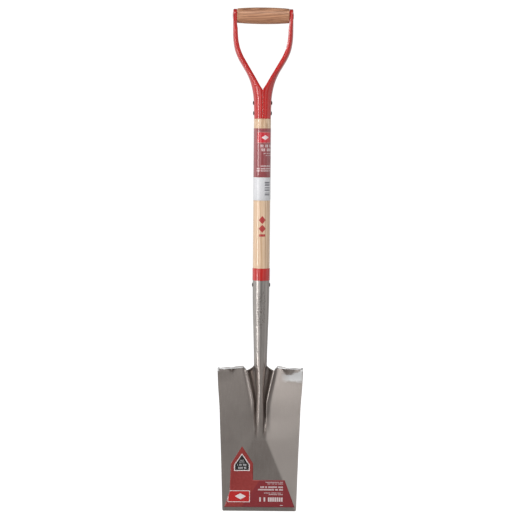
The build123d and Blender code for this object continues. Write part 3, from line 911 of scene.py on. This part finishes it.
# Radius and height along the free part of the shaft, between socket and yoke.
SHAFT_BODY = [
    (17.62, 502.8), (17.64, 531), (17.69, 590), (17.75, 656),
    (17.77, 720), (17.8, 795), (17.9, YOKE_BOTTOM - 0.85),
]
TENON_GAP = 1.9


def make_shaft():
    """Turned shaft, with its two reduced ends inside socket and yoke."""
    low, high = node_box("shaft")
    shoulder = YOKE_BOTTOM - 0.05
    tenon = [(radius - TENON_GAP, height) for height, radius in SOCKET_RADII if height > low.z]
    bottom = between(SOCKET_RADII, low.z)[0] - TENON_GAP
    profile = [(0, low.z), (bottom - 1, low.z), (bottom, low.z + 1)] + tenon + SHAFT_BODY
    profile += [(17.4, shoulder), (15.8, shoulder), (15.8, high.z - 2), (14.3, high.z), (0, high.z)]
    shaft = lathe("turned_shaft", profile, segments=160)
    smooth_shade(shaft)
    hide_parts("shaft")
    return shaft


def make_wrap(name, node):
    """A label wrapped once round the shaft, with its edges just rounded."""
    low, high = node_box(node)
    inner, outer = high.x - 0.2, high.x - 0.02
    profile = [(inner, low.z + 0.1), (outer - 0.05, low.z + 0.1), (outer, low.z + 0.2)]
    profile += [(outer, high.z - 0.2), (outer - 0.05, high.z - 0.1), (inner, high.z - 0.1)]
    wrap = lathe(name, profile, segments=160, closed=True)
    smooth_shade(wrap, 50)
    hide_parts(node)
    return wrap


def make_collar():
    """Red ring over the joint, rolled at both edges."""
    low, high = node_box("socket_collar")
    outer, bore = high.x, high.x - 0.6
    lower, upper = 0.5, 0.9
    profile = [(bore, low.z), (outer - lower, low.z)]
    profile += [(outer - lower + lower * sin(a), low.z + lower - lower * cos(a)) for a in arc(10, 90, 5)]
    profile += [(outer - upper + upper * cos(a), high.z - upper + upper * sin(a)) for a in arc(0, 75, 7)]
    profile += [(bore, high.z - 0.05)]
    collar = lathe("collar_ring", profile, segments=160, closed=True)
    smooth_shade(collar, 50)
    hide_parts("socket_collar")
    return collar


def make_grip():
    """Barrel-shaped grip, with rounded ends and its bore."""
    low, high = node_box("grip")
    half, middle = high.x - 0.25, (high.z - low.z) / 2
    centre = (low.z + high.z) / 2
    end, rounding, bore, fullness = 15.0, 1.2, 4.1, 2.2
    barrel = []
    for step in range(-20, 21):
        share = step / 20
        barrel.append((end + (middle - end) * (1 - abs(share) ** fullness), share * (half - rounding)))
    rim = []
    for angle in arc(15, 90, 5):
        rim.append((end - rounding * (1 - cos(angle)), half - rounding * (1 - sin(angle))))
    left = [(radius, -along) for radius, along in reversed(rim)]
    profile = [(bore, -half)] + left + barrel + rim + [(bore, half)]
    grip = lathe("turned_grip", profile, "X", centre, 128, closed=True)
    smooth_shade(grip, 40)
    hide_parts("grip")
    return grip


# ---------------------------------------------------------------- stage, light and camera

def make_stage():
    """A round white studio: a floor that curves up into a wall all round, outside the camera's orbit."""
    radius, cove, top, sides = 8.0, 1.5, 9.0, 72
    profile = [(0.0, 0.0), (2.0, 0.0), (radius - cove, 0.0)]
    profile += [(radius - cove + cove * sin(a), cove - cove * cos(a)) for a in arc(10, 90, 8)]
    profile.append((radius, top))
    turns = [2 * pi * step / sides for step in range(sides)]
    points, faces = [], []
    for out, z in profile:
        points += [(out * cos(turn), out * sin(turn), z) for turn in turns]
    for ring in range(len(profile) - 1):
        for k in range(sides):
            a, b = ring * sides + k, ring * sides + (k + 1) % sides
            faces.append((a, b, b + sides, a + sides))
    mesh = bpy.data.meshes.new("studio")
    mesh.from_pydata(points, [], faces)
    mesh.shade_smooth()
    studio = bpy.data.objects.new("studio", mesh)
    bpy.context.scene.collection.objects.link(studio)
    studio.location.z = -0.0006
    studio.visible_diffuse = studio.visible_glossy = studio.visible_shadow = False
    f = Finish("studio_white")
    grain = f.noise(0.01, 0.01, 0.01)
    tone = f.mix(f.spread(grain), (0.24, 0.24, 0.24, 1), (0.26, 0.26, 0.26, 1))
    f.set(Base_Color=tone, Roughness=0.9, Emission_Color=(1, 1, 1, 1), Emission_Strength=0.97)
    mesh.materials.append(f.material)


def add_softbox(name, place, aim, width, height, power):
    """A rectangular soft light that faces a point on the tool's axis."""
    light = bpy.data.lights.new(name, "AREA")
    light.shape = "RECTANGLE"
    light.size, light.size_y = width, height
    light.energy = power
    lamp = bpy.data.objects.new(name, light)
    bpy.context.scene.collection.objects.link(lamp)
    lamp.location = place
    lamp.visible_camera = False
    lamp.rotation_euler = (Vector((0, 0, aim)) - Vector(place)).to_track_quat("-Z", "Y").to_euler()


# Name, place in metres, height of the point it faces, width, height and power.
SOFTBOXES = [
    ("key_strip", (-2.0, -1.45, 0.75), 0.6, 0.40, 2.4, 33),
    ("left_front_panel", (-1.25, -2.85, 0.8), 0.6, 1.1, 2.6, 14),
    ("right_front_panel", (1.6, -2.6, 0.8), 0.6, 1.3, 2.6, 8),
    ("right_wall", (2.8, -0.5, 0.8), 0.6, 2.2, 2.6, 13),
    ("left_wall", (-2.6, 0.4, 0.8), 0.6, 1.8, 2.6, 15),
    ("right_back_panel", (2.2, 1.9, 0.8), 0.6, 1.6, 2.6, 7),
    ("left_back_panel", (-2.0, 2.2, 0.8), 0.6, 1.4, 2.6, 8),
    ("back_panel", (0, 3.2, 0.9), 0.6, 3.0, 2.2, 15),
    ("top_panel", (0.2, -2.0, 3.1), 0.5, 2.2, 1.2, 34),
]
# The surroundings' strength changes between two heights of the view's direction.
SKY_FROM, SKY_TO = -0.75, -0.15
SKY_BELOW, SKY_ABOVE = 0.45, 0.21


def make_lights():
    """Narrow key strip from the left front, soft panels around, surroundings brighter below than above."""
    for softbox in SOFTBOXES:
        add_softbox(*softbox)
    world = bpy.data.worlds.new("studio")
    world.use_nodes = True
    nodes, links = world.node_tree.nodes, world.node_tree.links
    place = nodes.new("ShaderNodeTexCoord")
    parts = nodes.new("ShaderNodeSeparateXYZ")
    links.new(place.outputs["Generated"], parts.inputs[0])
    spread = nodes.new("ShaderNodeMapRange")
    spread.interpolation_type = "SMOOTHSTEP"
    links.new(parts.outputs["Z"], spread.inputs[0])
    for number, socket in zip((SKY_FROM, SKY_TO, SKY_BELOW, SKY_ABOVE), list(spread.inputs)[1:5]):
        socket.default_value = number
    links.new(spread.outputs[0], nodes["Background"].inputs[1])
    nodes["Background"].inputs[0].default_value = (1, 1, 1, 1)
    bpy.context.scene.world = world
    bpy.context.scene.view_settings.view_transform = "Standard"


CAMERA_PLACE = (-0.0037, -3.5, 0.82)
CAMERA_LENS, SENSOR_WIDTH = 116.4, 36
CAMERA_PITCH, CAMERA_ROLL = 4.665, 0.48


def make_camera():
    """A distant camera near the shaft's middle, looking slightly down."""
    camera = bpy.data.cameras.new("camera")
    eye = bpy.data.objects.new("camera", camera)
    bpy.context.scene.collection.objects.link(eye)
    camera.sensor_width = SENSOR_WIDTH
    camera.lens = CAMERA_LENS
    camera.clip_end = 60
    eye.location = CAMERA_PLACE
    eye.rotation_euler = (radians(90 - CAMERA_PITCH), 0, 0)
    eye.rotation_euler.rotate_axis("Z", radians(CAMERA_ROLL))
    bpy.context.scene.camera = eye


def main():
    """Every piece with its finish, then the stage."""
    make_camera()
    steel, red, dark = steel_finish(), red_finish(), dark_steel_finish()
    for piece in (make_blade(), make_socket_marks()):
        piece.data.materials.append(steel)
    make_sticker().data.materials.append(sticker_finish())
    make_shaft().data.materials.append(ash_finish())
    make_grip().data.materials.append(oak_finish())
    make_collar().data.materials.append(red)
    for name, side in (("yoke_left", -1), ("yoke_right", 1)):
        half = make_yoke_half(name + "_stamping", side)
        half.data.materials.append(red)
        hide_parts(name)
    low, high = node_box("shaft_label")
    maroon_wrap = make_wrap("maroon_wrap", "shaft_label")
    maroon_wrap.data.materials.append(maroon_label_finish(high.z))
    low, high = node_box("barcode_label")
    white_wrap = make_wrap("white_wrap", "barcode_label")
    white_wrap.data.materials.append(white_label_finish(low.z, high.z))
    for name in ("socket_rivet", "yoke_rivet_upper", "yoke_rivet_lower"):
        make_pin(name + "_turned", name, 2.5, 1.6).data.materials.append(dark)
    make_pin("grip_rod_turned", "grip_rod", 4.0, 0.6).data.materials.append(red)
    make_stage()
    make_lights()


main()
